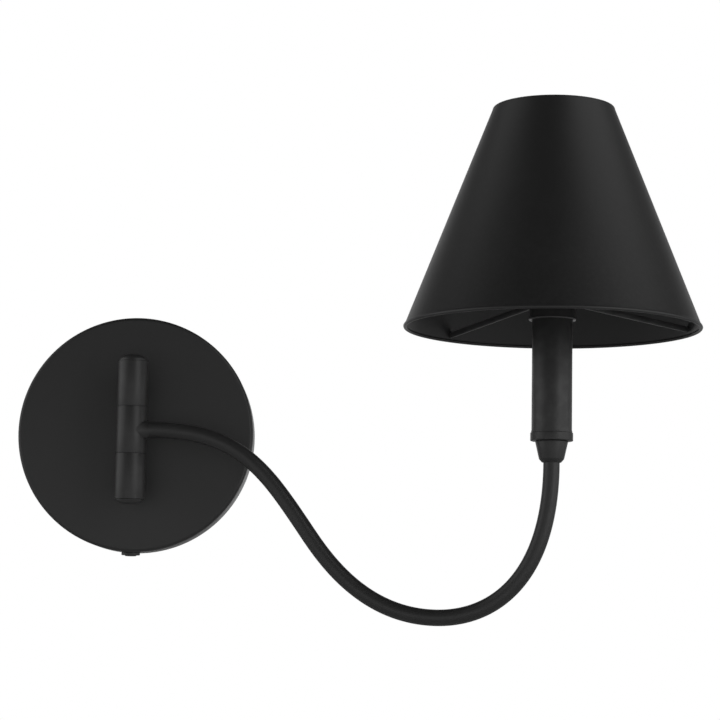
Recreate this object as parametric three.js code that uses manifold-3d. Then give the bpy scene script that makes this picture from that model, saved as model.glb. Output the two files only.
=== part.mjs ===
// Swing-arm wall sconce: a round wall canopy, a three-piece pivot barrel standing off it, an S-bent
// tube arm, a candle-style lamp holder and a tapered metal shade carried on a three-arm spider.
// Millimetres, +Z up. The origin is the centre of the canopy on the wall plane (Y = 0); the wall is
// on the +Y side, +X runs along the wall and the light stands out towards -Y.
import * as THREE from 'three';
import { mergeVertices } from 'three/addons/utils/BufferGeometryUtils.js';
import Module from 'manifold-3d';

const wasm = await Module();
wasm.setup();

// ---- Driving dimensions ----
const CLEARANCE = 0.3;             // between pieces that touch on the real light

const PLATE_RADIUS = 63.5;         // a 5 in canopy
const PLATE_DEPTH = 22;            // from the wall to the canopy's front face
const PLATE_WALL = 1.6;
const PLATE_EDGE = 2;              // radius of the front edge

const BARREL_STANDOFF = 44.5;      // from the wall to the pivot axis
const BARREL_RADIUS = 8;
const BARREL_HALF_HEIGHT = 36.6;   // without the end caps
const SEAM_HEIGHT = 12.5;          // the two seams lie this far above and below the middle
const SEAM_GAP = 0.4;
const PIVOT_RADIUS = 3;
const CAP_RADIUS = 7.5;
const UPPER_CAP_RISE = 3.8;
const LOWER_CAP_RISE = 2.3;
const CAP_STEM = 4.5;              // the caps' pins reach this far into the barrel
const WASHER_SEAT = { radius: 6.5, depth: 0.5 };
const WASHER = { radius: 6, thickness: 0.8 };
const POST_HEIGHT = 24.5;          // the two posts lie this far above and below the middle
const POST_RADIUS = 4.7;
const POST_THREAD_RADIUS = 3.5;
const LEAD_BORE = 2.2;             // radius of the passages that the lamp lead runs through
const LEAD_RADIUS = 1.1;

const ARM_SWING = 12.4;            // degrees that the arm stands out from the wall's direction
const ARM_REACH = 224;             // from the pivot axis to the lamp's axis
const ARM_START = 10.5;            // where the tube leaves the collar
const COLLAR_RADIUS = 5.4;
const COLLAR_SEAT = 5.8;           // the collar's foot, inside the barrel
const TUBE_RADIUS = 4.2;
const TUBE_BORE = 3.1;
// The arm's line: level out of the collar, steepest at the dip, lowest at the trough, upright at the
// lamp. The pulls are the lengths of its curves' handles before and after each place.
const START_PULL = 48.2;
const DIP = { reach: 94, height: -49.3, slope: 54.2, pullBefore: 35.3, pullAfter: 15.3 };
const TROUGH = { reach: 166, height: -96.5, pullBefore: 41.4, pullAfter: 28.3 };
const RISE_PULL = 59.9;
const TUBE_TOP = -12;

const NECK_BOTTOM = -17.2;
const RING_BOTTOM = -6.3;
const RING_TOP = -2;
const RING_RADIUS = 10.9;
const SLEEVE_RADIUS = 10.3;
const SLEEVE_WALL = 0.9;
const SLEEVE_TOP = 60;

const SHADE_BOTTOM = 51.1;
const SHADE_TOP = 166.8;
const SHADE_BOTTOM_RADIUS = 76.2;  // a 6 in shade
const SHADE_TOP_RADIUS = 31.1;
const SHADE_WALL = 1.2;
const HUB_RADIUS = 11.9;
const SPIDER_ARMS = 3;
const SPIDER_TURN = 25;            // degrees, the first spider arm from the arm's direction
const SPIDER_STRIP = { height: 3, thickness: 1.6, atHub: 65, atCone: 54.3 };

const SWITCH_SIDE = -1.5;          // the switch's place along X
const SWITCH_OUT = 13.5;           // and its distance from the wall
const SWITCH_RIM = 1.2;            // height of the bezel's flange
const BUTTON_PROUD = 0.6;          // how far the button stands out of the bezel at rest
const BRIDGE_TURN = 45;            // degrees, the mounting strap's lean behind the canopy
const BRIDGE_LENGTH = 104;
const BRIDGE_WIDTH = 16;
const BRIDGE_THICKNESS = 2;
const BRIDGE_EAR = 12;             // height of the strap's bent ends
const BRIDGE_SLOT = { near: 24, far: 42, width: 4.4 };
const SIDE_SCREW_HEIGHT = 7;       // from the wall to the side screws
const GROUND_SCREW_OUT = 13;       // from the middle of the strap

// ---- Materials ----
const black = () => new THREE.MeshStandardMaterial({ color: 0x1d1c1b, roughness: 0.42, metalness: 0.5 });
const steel = () => new THREE.MeshStandardMaterial({ color: 0xb9bcc0, roughness: 0.35, metalness: 1 });
const brass = () => new THREE.MeshStandardMaterial({ color: 0xc9a24a, roughness: 0.35, metalness: 1 });
const phenolic = () => new THREE.MeshStandardMaterial({ color: 0x201a17, roughness: 0.5, metalness: 0 });
const plastic = (color) => new THREE.MeshStandardMaterial({ color, roughness: 0.55, metalness: 0 });
const glass = () => new THREE.MeshStandardMaterial({
  color: 0xf4f1ea, roughness: 0.08, metalness: 0, transparent: true, opacity: 0.4,
});

// ---- Geometry helpers ----
const degrees = Math.PI / 180;

// A closed profile of [radius, height] points turned about +Z.
function turned(profile, sides = 24) {
  const points = profile.map(([radius, height]) => new THREE.Vector2(radius, height));
  return new THREE.LatheGeometry(points, sides).rotateX(90 * degrees);
}

// A round ring or sleeve from its outer and inner radius, from one height to another.
function ring(outer, inner, low, high, sides = 24) {
  return turned([[inner, low], [outer, low], [outer, high], [inner, high], [inner, low]], sides);
}

// A round rod about +Z.
function rod(radius, low, high, sides = 20) {
  return turned([[0, low], [radius, low], [radius, high], [0, high]], sides);
}

// A box from its lowest and highest corners.
function block(low, high) {
  const size = high.map((value, axis) => value - low[axis]);
  const middle = high.map((value, axis) => (value + low[axis]) / 2);
  return new THREE.BoxGeometry(...size).translate(...middle);
}

// An outline of [x, y] points raised along +Z.
function prism(outline, low, high) {
  const shape = new THREE.Shape(outline.map(([x, y]) => new THREE.Vector2(x, y)));
  return new THREE.ExtrudeGeometry(shape, { depth: high - low, bevelEnabled: false }).translate(0, 0, low);
}

// A hexagon about +Z, measured across its flats.
function hexagon(acrossFlats, low, high) {
  const corner = acrossFlats / 2 / Math.cos(30 * degrees);
  const outline = [0, 1, 2, 3, 4, 5].map((k) => [
    corner * Math.cos(k * 60 * degrees),
    corner * Math.sin(k * 60 * degrees),
  ]);
  return prism(outline, low, high);
}

function circleShape(radius, sides) {
  const points = [];
  for (let k = 0; k < sides; k += 1) {
    const turn = (k / sides) * 2 * Math.PI;
    points.push(new THREE.Vector2(radius * Math.cos(turn), radius * Math.sin(turn)));
  }
  return points;
}

// A round tube or wire swept along a curve.
function swept(curve, radius, bore, sides, steps) {
  const shape = new THREE.Shape(circleShape(radius, sides));
  if (bore > 0) {
    shape.holes.push(new THREE.Path(circleShape(bore, sides)));
  }
  return new THREE.ExtrudeGeometry(shape, { extrudePath: curve, steps, bevelEnabled: false });
}

// A closed three.js mesh as a manifold-3d solid.
function toSolid(geometry) {
  const bare = geometry.clone();
  bare.deleteAttribute('normal');
  bare.deleteAttribute('uv');
  const merged = mergeVertices(bare);
  const corners = merged.index.array;
  const kept = [];
  for (let k = 0; k < corners.length; k += 3) {
    const [a, b, c] = corners.slice(k, k + 3);
    if (a !== b && b !== c && c !== a) {
      kept.push(a, b, c);
    }
  }
  return new wasm.Manifold(new wasm.Mesh({
    numProp: 3,
    vertProperties: Float32Array.from(merged.attributes.position.array),
    triVerts: Uint32Array.from(kept),
  }));
}

function toGeometry(solid) {
  const mesh = solid.getMesh();
  const geometry = new THREE.BufferGeometry();
  geometry.setAttribute('position', new THREE.BufferAttribute(mesh.vertProperties, 3));
  geometry.setIndex(new THREE.BufferAttribute(mesh.triVerts, 1));
  geometry.computeVertexNormals();
  return geometry;
}

// The first geometry with all the others cut away from it.
function cut(body, ...tools) {
  let solid = toSolid(body);
  for (const tool of tools) {
    solid = solid.subtract(toSolid(tool));
  }
  return toGeometry(solid);
}

// Two overlapping geometries joined into one.
function join(first, ...others) {
  let solid = toSolid(first);
  for (const other of others) {
    solid = solid.add(toSolid(other));
  }
  return toGeometry(solid);
}

function piece(name, geometry, material) {
  const mesh = new THREE.Mesh(geometry, material);
  mesh.name = name;
  return mesh;
}

// ---- Wall side ----
// These pieces are built facing up, with their height as the distance from the wall, and the whole
// group is then tipped so that its +Z points out of the wall (-Y) and its +Y points up.

function backplate() {
  const front = PLATE_DEPTH - PLATE_EDGE;
  const outerEdge = [0, 30, 60, 90].map((turn) => [
    PLATE_RADIUS - PLATE_EDGE + PLATE_EDGE * Math.cos(turn * degrees),
    front + PLATE_EDGE * Math.sin(turn * degrees),
  ]);
  const inside = PLATE_RADIUS - PLATE_WALL;
  const pan = turned([
    [0, PLATE_DEPTH - PLATE_WALL],
    [inside - 1, PLATE_DEPTH - PLATE_WALL],
    [inside, front - 0.6],
    [inside, 0],
    [PLATE_RADIUS, 0],
    ...outerEdge,
    [0, PLATE_DEPTH],
  ], 56);
  const postHole = rod(POST_THREAD_RADIUS + CLEARANCE, PLATE_DEPTH - 5, PLATE_DEPTH + 5);
  const switchHole = rod(4.3, -PLATE_RADIUS - 5, -PLATE_RADIUS + 8)
    .rotateX(-90 * degrees)
    .translate(SWITCH_SIDE, 0, SWITCH_OUT);
  const screwHoles = [0, 180].map((turn) => rod(2.3, PLATE_RADIUS - 6, PLATE_RADIUS + 6)
    .rotateY(90 * degrees)
    .translate(0, 0, SIDE_SCREW_HEIGHT)
    .rotateZ((BRIDGE_TURN + turn) * degrees));
  return piece('backplate', cut(
    pan,
    postHole.clone().translate(0, POST_HEIGHT, 0),
    postHole.clone().translate(0, -POST_HEIGHT, 0),
    switchHole,
    ...screwHoles,
  ), black());
}

// The steel strap that is screwed to the wall box. Its ends are bent out and take the side screws.
function mountingBridge() {
  const end = BRIDGE_LENGTH / 2;
  const half = BRIDGE_WIDTH / 2;
  const strap = block([-end, -half, 0], [end, half, BRIDGE_THICKNESS]);
  const ears = [-1, 1].map((side) => block(
    [side > 0 ? end - BRIDGE_THICKNESS : -end, -half, BRIDGE_THICKNESS / 2],
    [side > 0 ? end : -end + BRIDGE_THICKNESS, half, BRIDGE_EAR],
  ));
  const slots = [-1, 1].map((side) => block(
    [side > 0 ? BRIDGE_SLOT.near : -BRIDGE_SLOT.far, -BRIDGE_SLOT.width / 2, -3],
    [side > 0 ? BRIDGE_SLOT.far : -BRIDGE_SLOT.near, BRIDGE_SLOT.width / 2, 6],
  ));
  const screwHoles = [-1, 1].map((side) => rod(1.7, end - 8, end + 8)
    .rotateY(side * 90 * degrees)
    .translate(0, 0, SIDE_SCREW_HEIGHT));
  const groundHole = rod(1.9, -3, 6).translate(GROUND_SCREW_OUT, 0, 0);
  const joined = join(strap, ...ears);
  return piece('mounting_bridge', cut(joined, ...slots, ...screwHoles, groundHole)
    .rotateZ(BRIDGE_TURN * degrees), steel());
}

// Headless screws that hold the canopy on the strap's bent ends.
function sideScrew(number, turn) {
  const inner = BRIDGE_LENGTH / 2 - BRIDGE_THICKNESS - 3;
  const screw = cut(
    join(rod(1.4, inner, PLATE_RADIUS - 3), rod(2, BRIDGE_LENGTH / 2 + 3, PLATE_RADIUS - 0.4)),
    hexagon(1.6, PLATE_RADIUS - 2.5, PLATE_RADIUS + 1),
  );
  return piece(`side_screw_${number}`, screw
    .rotateY(90 * degrees)
    .translate(0, 0, SIDE_SCREW_HEIGHT)
    .rotateZ((BRIDGE_TURN + turn) * degrees), black());
}

function groundScrew() {
  const low = BRIDGE_THICKNESS + CLEARANCE;
  const head = turned([[0, low], [3.6, low], [3.6, low + 1.4], [2.6, low + 2.2], [0, low + 2.2]], 24);
  const slot = block([-4, -0.5, low + 1.2], [4, 0.5, low + 4]);
  const shank = rod(1.5, 0.3, low + 0.5, 16);
  return piece('ground_screw', cut(join(head, shank), slot)
    .translate(GROUND_SCREW_OUT, 0, 0)
    .rotateZ(BRIDGE_TURN * degrees), new THREE.MeshStandardMaterial({
    color: 0x3f7a4b, roughness: 0.4, metalness: 0.8,
  }));
}

// A hollow shouldered post: its thread passes through the canopy and its head enters the barrel.
function post(name, height) {
  const inner = PLATE_DEPTH - 6.5;
  const shoulder = PLATE_DEPTH + CLEARANCE;
  const front = BARREL_STANDOFF - BARREL_RADIUS + 2.2;
  return piece(name, turned([
    [LEAD_BORE, inner],
    [POST_THREAD_RADIUS, inner],
    [POST_THREAD_RADIUS, shoulder],
    [POST_RADIUS, shoulder],
    [POST_RADIUS, front],
    [LEAD_BORE, front],
    [LEAD_BORE, inner],
  ]).translate(0, height, 0), black());
}

function postNut(name, height) {
  const top = PLATE_DEPTH - PLATE_WALL - CLEARANCE;
  return piece(name, cut(hexagon(12, top - 3.2, top), rod(POST_THREAD_RADIUS + CLEARANCE, 0, 40))
    .translate(0, height, 0), steel());
}

// The push switch in the canopy's lower edge, built about +Z and then turned to point down.
function pointDown(geometry) {
  return geometry.rotateX(90 * degrees).translate(SWITCH_SIDE, 0, SWITCH_OUT);
}

function switchBezel() {
  const face = PLATE_RADIUS + CLEARANCE;
  return piece('switch_bezel', pointDown(turned([
    [3.5, face - 8],
    [4, face - 8],
    [4, face],
    [5, face],
    [5, face + SWITCH_RIM - 0.4],
    [4.6, face + SWITCH_RIM],
    [3.5, face + SWITCH_RIM],
    [3.5, face - 8],
  ])), black());
}

function switchNut() {
  const top = PLATE_RADIUS - PLATE_WALL - CLEARANCE - 0.5;
  return piece('switch_nut', pointDown(cut(hexagon(11, top - 2.2, top), rod(4.3, 0, 90))), steel());
}

function switchBody() {
  const top = PLATE_RADIUS - 8;
  const box = block([-8, -6.5, top - 15], [8, 6.5, top]);
  const well = rod(2.6, top - 6, top + 2);
  const lugs = [-4, 4].map((x) => block([x - 1, -0.4, top - 20], [x + 1, 0.4, top - 14]));
  return piece('switch_body', pointDown(cut(join(box, ...lugs), well)), plastic(0x26262a));
}

function pushButton() {
  const seat = PLATE_RADIUS + CLEARANCE;
  const face = seat + SWITCH_RIM + BUTTON_PROUD;
  return piece('push_button', pointDown(turned([
    [0, seat - 12.5],
    [2, seat - 12.5],
    [2, seat - 6],
    [3.1, seat - 6],
    [3.1, face - 0.4],
    [2.6, face - 0.1],
    [0, face],
  ])), black());
}

// Twist-on connectors that join the lamp lead, the switch and the supply behind the canopy.
function wireConnector(number, x, y, color) {
  const cone = turned([[0, 4.5], [1.6, 4.5], [1.6, 10], [4.6, 16.5], [4.6, 17.5], [2.9, 17.5], [0, 8]], 16);
  return piece(`wire_connector_${number}`, cone.translate(x, y, 0), plastic(color));
}

// ---- Pivot barrel ----
// Built about its own upright axis. The outer segments are fixed to the posts, the middle one turns.

const postDirection = (radius, near, far) => rod(radius, near, far).rotateX(-90 * degrees);

function barrelEnd(name, side) {
  const chamfer = 0.4;
  const seam = SEAM_HEIGHT + SEAM_GAP / 2;
  const bore = PIVOT_RADIUS + CLEARANCE;
  const body = turned([
    [bore, seam + WASHER_SEAT.depth],
    [WASHER_SEAT.radius, seam + WASHER_SEAT.depth],
    [WASHER_SEAT.radius, seam],
    [BARREL_RADIUS - chamfer, seam],
    [BARREL_RADIUS, seam + chamfer],
    [BARREL_RADIUS, BARREL_HALF_HEIGHT - chamfer],
    [BARREL_RADIUS - chamfer, BARREL_HALF_HEIGHT],
    [bore, BARREL_HALF_HEIGHT],
    [bore, seam + WASHER_SEAT.depth],
  ], 28);
  const seat = postDirection(POST_RADIUS + CLEARANCE, BARREL_RADIUS - 2.5, 12).translate(0, 0, POST_HEIGHT);
  const passage = postDirection(LEAD_BORE, 0, 12).translate(0, 0, POST_HEIGHT);
  const geometry = cut(body, seat, passage);
  return piece(name, side > 0 ? geometry : geometry.rotateY(180 * degrees), black());
}

function barrelCap(name, side, rise) {
  const low = BARREL_HALF_HEIGHT + CLEARANCE;
  const geometry = turned([
    [0, low - CAP_STEM],
    [PIVOT_RADIUS, low - CAP_STEM],
    [PIVOT_RADIUS, low],
    [CAP_RADIUS, low],
    [CAP_RADIUS, low + rise * 0.3],
    [CAP_RADIUS * 0.955, low + rise * 0.58],
    [CAP_RADIUS * 0.84, low + rise * 0.78],
    [CAP_RADIUS * 0.6, low + rise * 0.92],
    [0, low + rise],
  ], 28);
  return piece(name, side > 0 ? geometry : geometry.rotateY(180 * degrees), black());
}

function frictionWasher(name, height) {
  const half = WASHER.thickness / 2;
  return piece(name, ring(WASHER.radius, PIVOT_RADIUS + CLEARANCE, height - half, height + half), steel());
}

function upperPivot() {
  return piece('upper_pivot', rod(PIVOT_RADIUS, 4.3, BARREL_HALF_HEIGHT - 5), steel());
}

// The lower pivot is a tube, with a window where the lamp lead comes in from the lower post.
function lowerPivot() {
  const tube = ring(PIVOT_RADIUS, LEAD_BORE, -BARREL_HALF_HEIGHT + 5, -4.3);
  const window = postDirection(LEAD_BORE, 0.5, 6).translate(0, 0, -POST_HEIGHT);
  return piece('lower_pivot', cut(tube, window), steel());
}

// The lead's fixed stretch: from behind the canopy, through the lower post, up into the pivot.
function baseLead() {
  const bend = 2;
  const path = new THREE.CurvePath();
  const start = new THREE.Vector3(0, BARREL_STANDOFF - 9, -POST_HEIGHT);
  const beforeBend = new THREE.Vector3(0, bend, -POST_HEIGHT);
  const corner = new THREE.Vector3(0, 0, -POST_HEIGHT);
  const afterBend = new THREE.Vector3(0, 0, -POST_HEIGHT + bend);
  const end = new THREE.Vector3(0, 0, -1.8);
  path.add(new THREE.LineCurve3(start, beforeBend));
  path.add(new THREE.QuadraticBezierCurve3(beforeBend, corner, afterBend));
  path.add(new THREE.LineCurve3(afterBend, end));
  return piece('base_lead', swept(path, LEAD_RADIUS, 0, 6, 40), plastic(0x1a1a1a));
}

// ---- Arm ----
// Built with the arm reaching along +X from the pivot axis, and turned as one with ARM_SWING.

function armPath() {
  const slope = DIP.slope * degrees;
  const along = new THREE.Vector3(Math.cos(slope), 0, -Math.sin(slope));
  const start = new THREE.Vector3(ARM_START, 0, 0);
  const dip = new THREE.Vector3(DIP.reach, 0, DIP.height);
  const trough = new THREE.Vector3(TROUGH.reach, 0, TROUGH.height);
  const rise = new THREE.Vector3(ARM_REACH, 0, NECK_BOTTOM);
  const top = new THREE.Vector3(ARM_REACH, 0, TUBE_TOP);
  const path = new THREE.CurvePath();
  path.add(new THREE.CubicBezierCurve3(
    start,
    start.clone().add(new THREE.Vector3(START_PULL, 0, 0)),
    dip.clone().addScaledVector(along, -DIP.pullBefore),
    dip,
  ));
  path.add(new THREE.CubicBezierCurve3(
    dip,
    dip.clone().addScaledVector(along, DIP.pullAfter),
    trough.clone().add(new THREE.Vector3(-TROUGH.pullBefore, 0, 0)),
    trough,
  ));
  path.add(new THREE.CubicBezierCurve3(
    trough,
    trough.clone().add(new THREE.Vector3(TROUGH.pullAfter, 0, 0)),
    rise.clone().add(new THREE.Vector3(0, 0, -RISE_PULL)),
    rise,
  ));
  path.add(new THREE.LineCurve3(rise, top));
  return path;
}

function barrelMiddle() {
  const half = SEAM_HEIGHT - SEAM_GAP / 2;
  const bore = PIVOT_RADIUS + CLEARANCE;
  const profile = [
    [bore, -half + WASHER_SEAT.depth],
    [WASHER_SEAT.radius, -half + WASHER_SEAT.depth],
    [WASHER_SEAT.radius, -half],
    [BARREL_RADIUS - 0.4, -half],
    [BARREL_RADIUS, -half + 0.4],
    [BARREL_RADIUS, half - 0.4],
    [BARREL_RADIUS - 0.4, half],
    [WASHER_SEAT.radius, half],
    [WASHER_SEAT.radius, half - WASHER_SEAT.depth],
    [bore, half - WASHER_SEAT.depth],
    [bore, -half + WASHER_SEAT.depth],
  ];
  const seat = rod(COLLAR_RADIUS + CLEARANCE, COLLAR_SEAT - CLEARANCE, 12).rotateY(90 * degrees);
  const passage = rod(LEAD_BORE, 0, 12).rotateY(90 * degrees);
  return piece('barrel_middle', cut(turned(profile, 28), seat, passage), black());
}

function armCollar() {
  const collar = turned([
    [LEAD_BORE, COLLAR_SEAT],
    [COLLAR_RADIUS, COLLAR_SEAT],
    [COLLAR_RADIUS, 7.6],
    [4.85, 8.4],
    [4.5, 9.3],
    [4.3, ARM_START - CLEARANCE],
    [LEAD_BORE, ARM_START - CLEARANCE],
    [LEAD_BORE, COLLAR_SEAT],
  ]);
  return piece('arm_collar', collar.rotateY(90 * degrees), black());
}

function armTube() {
  return piece('arm_tube', swept(armPath(), TUBE_RADIUS, TUBE_BORE, 12, 44), black());
}

// The lead's swinging stretch: out of the pivot, through the whole arm and up to the lamp holder.
function armLead() {
  const path = new THREE.CurvePath();
  const start = new THREE.Vector3(1.2, 0, 0);
  const tubeStart = new THREE.Vector3(ARM_START, 0, 0);
  const tubeTop = new THREE.Vector3(ARM_REACH, 0, TUBE_TOP);
  const end = new THREE.Vector3(ARM_REACH, 0, 29);
  path.add(new THREE.LineCurve3(start, tubeStart));
  for (const stretch of armPath().curves.slice(0, 3)) {
    path.add(stretch);
  }
  path.add(new THREE.LineCurve3(new THREE.Vector3(ARM_REACH, 0, NECK_BOTTOM), tubeTop));
  path.add(new THREE.LineCurve3(tubeTop, end));
  return piece('arm_lead', swept(path, LEAD_RADIUS, 0, 6, 84), plastic(0x1a1a1a));
}

// ---- Lamp holder ----
// Built about its own upright axis, which stands at the end of the arm.

function cupNeck() {
  const tubeBore = TUBE_RADIUS + CLEARANCE;
  return piece('cup_neck', turned([
    [tubeBore, NECK_BOTTOM],
    [5, NECK_BOTTOM],
    [6.4, NECK_BOTTOM + 1.6],
    [8.4, RING_BOTTOM - CLEARANCE],
    [5.1, RING_BOTTOM - CLEARANCE],
    [5.1, TUBE_TOP + CLEARANCE],
    [tubeBore, TUBE_TOP + CLEARANCE],
    [tubeBore, NECK_BOTTOM],
  ], 28), black());
}

function cupRing() {
  const edge = 1.4;
  const rounded = [-90, -45, 0].map((turn) => [
    RING_RADIUS - edge + edge * Math.cos(turn * degrees),
    RING_BOTTOM + edge + edge * Math.sin(turn * degrees),
  ]);
  const upper = [0, 45, 90].map((turn) => [
    RING_RADIUS - edge + edge * Math.cos(turn * degrees),
    RING_TOP - edge + edge * Math.sin(turn * degrees),
  ]);
  return piece('cup_ring', turned([
    [5.1, RING_BOTTOM],
    ...rounded,
    ...upper,
    [5.1, RING_TOP],
    [5.1, RING_BOTTOM],
  ], 28), black());
}

function candleSleeve() {
  return piece('candle_sleeve', ring(
    SLEEVE_RADIUS,
    SLEEVE_RADIUS - SLEEVE_WALL,
    RING_TOP + CLEARANCE,
    SLEEVE_TOP,
    28,
  ), black());
}

function nipple() {
  return piece('threaded_nipple', ring(4.8, 3.4, TUBE_TOP + 0.6, 30, 24), steel());
}

function cupNut() {
  const low = RING_TOP + CLEARANCE;
  return piece('cup_nut', cut(hexagon(14, low, low + 3), rod(5.1, -20, 20)), steel());
}

function socketCap() {
  return piece('socket_cap', turned([
    [5.1, 22],
    [6.4, 22],
    [7.4, 24],
    [7.4, 33.7],
    [1.5, 33.7],
    [1.5, 30.4],
    [5.1, 30.4],
    [5.1, 22],
  ]), phenolic());
}

function socketShell() {
  return piece('socket_shell', turned([
    [1.5, 34],
    [7.4, 34],
    [7.4, 68],
    [6.8, 68],
    [6.8, 37.7],
    [1.5, 37.7],
    [1.5, 34],
  ]), phenolic());
}

function socketContact() {
  return piece('socket_contact', ring(2.6, 0.6, 38, 38.8, 16), brass());
}

function socketThread() {
  return piece('socket_thread', ring(6.5, 6.15, 40, 64), brass());
}

function bulbBase() {
  return piece('bulb_base', turned([
    [0, 39.1],
    [1.9, 39.1],
    [2.3, 40.2],
    [4.6, 41.6],
    [5.8, 43.4],
    [5.8, 65],
    [5.4, 66],
    [0, 66],
  ]), brass());
}

// The glass envelope is a thin shell, open where it sits on the bulb's base.
function bulbGlass() {
  const wall = 0.8;
  const low = 66.3;
  const outline = [
    [6.2, 0], [6.6, 4], [13, 15], [17, 26], [16.8, 35], [12.5, 53], [6.4, 68], [2.8, 74],
  ];
  const outer = outline.map(([radius, rise]) => [radius, low + rise]);
  const inner = outline.map(([radius, rise]) => [radius - wall, low + rise]).reverse();
  return piece('bulb_glass', turned([
    ...outer,
    [0, low + 75.5],
    [0, low + 74.5],
    ...inner,
    outer[0],
  ]), glass());
}

// The stem that carries the light-giving filaments inside the glass.
function bulbStem() {
  return piece('bulb_stem', turned([
    [0, 66.3], [3.6, 66.3], [3.2, 72], [1.4, 76], [1.1, 112], [0, 113],
  ], 16), new THREE.MeshStandardMaterial({ color: 0xf0d9a0, roughness: 0.3, metalness: 0 }));
}

// ---- Shade ----

function shadeRadius(height) {
  const share = (height - SHADE_BOTTOM) / (SHADE_TOP - SHADE_BOTTOM);
  return SHADE_BOTTOM_RADIUS + share * (SHADE_TOP_RADIUS - SHADE_BOTTOM_RADIUS);
}

function shade() {
  const wall = SHADE_WALL * 1.08;
  return piece('shade', turned([
    [SHADE_BOTTOM_RADIUS - wall - 0.6, SHADE_BOTTOM],
    [SHADE_BOTTOM_RADIUS, SHADE_BOTTOM],
    [SHADE_TOP_RADIUS, SHADE_TOP],
    [SHADE_TOP_RADIUS - wall, SHADE_TOP],
    [shadeRadius(SHADE_BOTTOM + 2.4) - wall, SHADE_BOTTOM + 2.4],
    [SHADE_BOTTOM_RADIUS - wall - 0.6, SHADE_BOTTOM + 1.6],
    [SHADE_BOTTOM_RADIUS - wall - 0.6, SHADE_BOTTOM],
  ], 56), black());
}

// The hub slips over the sleeve; its inner flange rests on the sleeve's top.
function shadeHub() {
  const skirt = SLEEVE_RADIUS + CLEARANCE;
  return piece('shade_hub', turned([
    [skirt, 55.8],
    [HUB_RADIUS, 55.8],
    [HUB_RADIUS, 66.5],
    [10.6, 66.5],
    [10.6, 62],
    [7.7, 62],
    [7.7, SLEEVE_TOP + CLEARANCE],
    [skirt, SLEEVE_TOP + CLEARANCE],
    [skirt, 55.8],
  ], 28), black());
}

function retainingRing() {
  return piece('retaining_ring', ring(10.2, 7.7, 62.3, 66), phenolic());
}

// A flat strip from the hub down to just inside the cone's lower edge.
function spiderArm(number, turn) {
  const inner = HUB_RADIUS + CLEARANCE;
  const outer = shadeRadius(SPIDER_STRIP.atCone) - SHADE_WALL * 1.08 - CLEARANCE - 0.9;
  const half = SPIDER_STRIP.height / 2;
  const strip = prism([
    [inner, SPIDER_STRIP.atHub - half],
    [outer, SPIDER_STRIP.atCone - half],
    [outer, SPIDER_STRIP.atCone + half],
    [inner, SPIDER_STRIP.atHub + half],
  ], -SPIDER_STRIP.thickness / 2, SPIDER_STRIP.thickness / 2).rotateX(90 * degrees);
  return piece(`spider_arm_${number}`, strip.rotateZ(turn * degrees), black());
}

// ---- Assembly ----

const wallSide = new THREE.Group();
wallSide.rotation.x = 90 * degrees;
wallSide.add(
  backplate(),
  mountingBridge(),
  sideScrew(1, 0),
  sideScrew(2, 180),
  groundScrew(),
  post('upper_post', POST_HEIGHT),
  post('lower_post', -POST_HEIGHT),
  postNut('upper_post_nut', POST_HEIGHT),
  postNut('lower_post_nut', -POST_HEIGHT),
  switchBezel(),
  switchNut(),
  switchBody(),
  pushButton(),
  wireConnector(1, 34, 6, 0x2b2b2b),
  wireConnector(2, 46, -4, 0xe8e6e0),
  wireConnector(3, -34, 2, 0x3f7a4b),
);

const barrel = new THREE.Group();
barrel.position.y = -BARREL_STANDOFF;
barrel.add(
  barrelEnd('barrel_upper', 1),
  barrelEnd('barrel_lower', -1),
  barrelCap('upper_cap', 1, UPPER_CAP_RISE),
  barrelCap('lower_cap', -1, LOWER_CAP_RISE),
  frictionWasher('upper_washer', SEAM_HEIGHT),
  frictionWasher('lower_washer', -SEAM_HEIGHT),
  upperPivot(),
  lowerPivot(),
  baseLead(),
);

const lamp = new THREE.Group();
lamp.position.x = ARM_REACH;
lamp.add(
  cupNeck(),
  cupRing(),
  cupNut(),
  candleSleeve(),
  nipple(),
  socketCap(),
  socketShell(),
  socketContact(),
  socketThread(),
  bulbBase(),
  bulbGlass(),
  bulbStem(),
  shadeHub(),
  retainingRing(),
  shade(),
);
for (let k = 0; k < SPIDER_ARMS; k += 1) {
  lamp.add(spiderArm(k + 1, SPIDER_TURN + k * (360 / SPIDER_ARMS)));
}

const arm = new THREE.Group();
arm.rotation.z = -ARM_SWING * degrees;
arm.add(barrelMiddle(), armCollar(), armTube(), armLead(), lamp);
barrel.add(arm);

const sconce = new THREE.Group();
sconce.add(wallSide, barrel);

export default sconce;
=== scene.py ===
from math import cos, pi, radians, sin

import bmesh
import bpy
from mathutils import Matrix, Vector


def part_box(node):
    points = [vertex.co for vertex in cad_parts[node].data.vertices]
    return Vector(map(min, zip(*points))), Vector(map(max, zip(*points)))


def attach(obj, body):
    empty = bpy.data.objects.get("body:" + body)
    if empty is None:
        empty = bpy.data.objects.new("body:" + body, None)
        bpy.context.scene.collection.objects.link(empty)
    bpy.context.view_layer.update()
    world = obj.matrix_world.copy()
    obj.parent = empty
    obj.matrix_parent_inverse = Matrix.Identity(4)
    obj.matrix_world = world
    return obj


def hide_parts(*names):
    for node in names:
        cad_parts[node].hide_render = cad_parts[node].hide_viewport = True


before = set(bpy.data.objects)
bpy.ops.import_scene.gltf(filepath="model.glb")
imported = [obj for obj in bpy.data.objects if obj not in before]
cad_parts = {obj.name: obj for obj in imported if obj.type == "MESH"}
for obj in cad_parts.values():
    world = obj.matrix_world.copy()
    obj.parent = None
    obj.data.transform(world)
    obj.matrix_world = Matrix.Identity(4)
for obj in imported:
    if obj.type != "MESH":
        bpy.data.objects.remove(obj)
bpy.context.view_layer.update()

scene = bpy.context.scene
mm = 0.001

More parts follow.
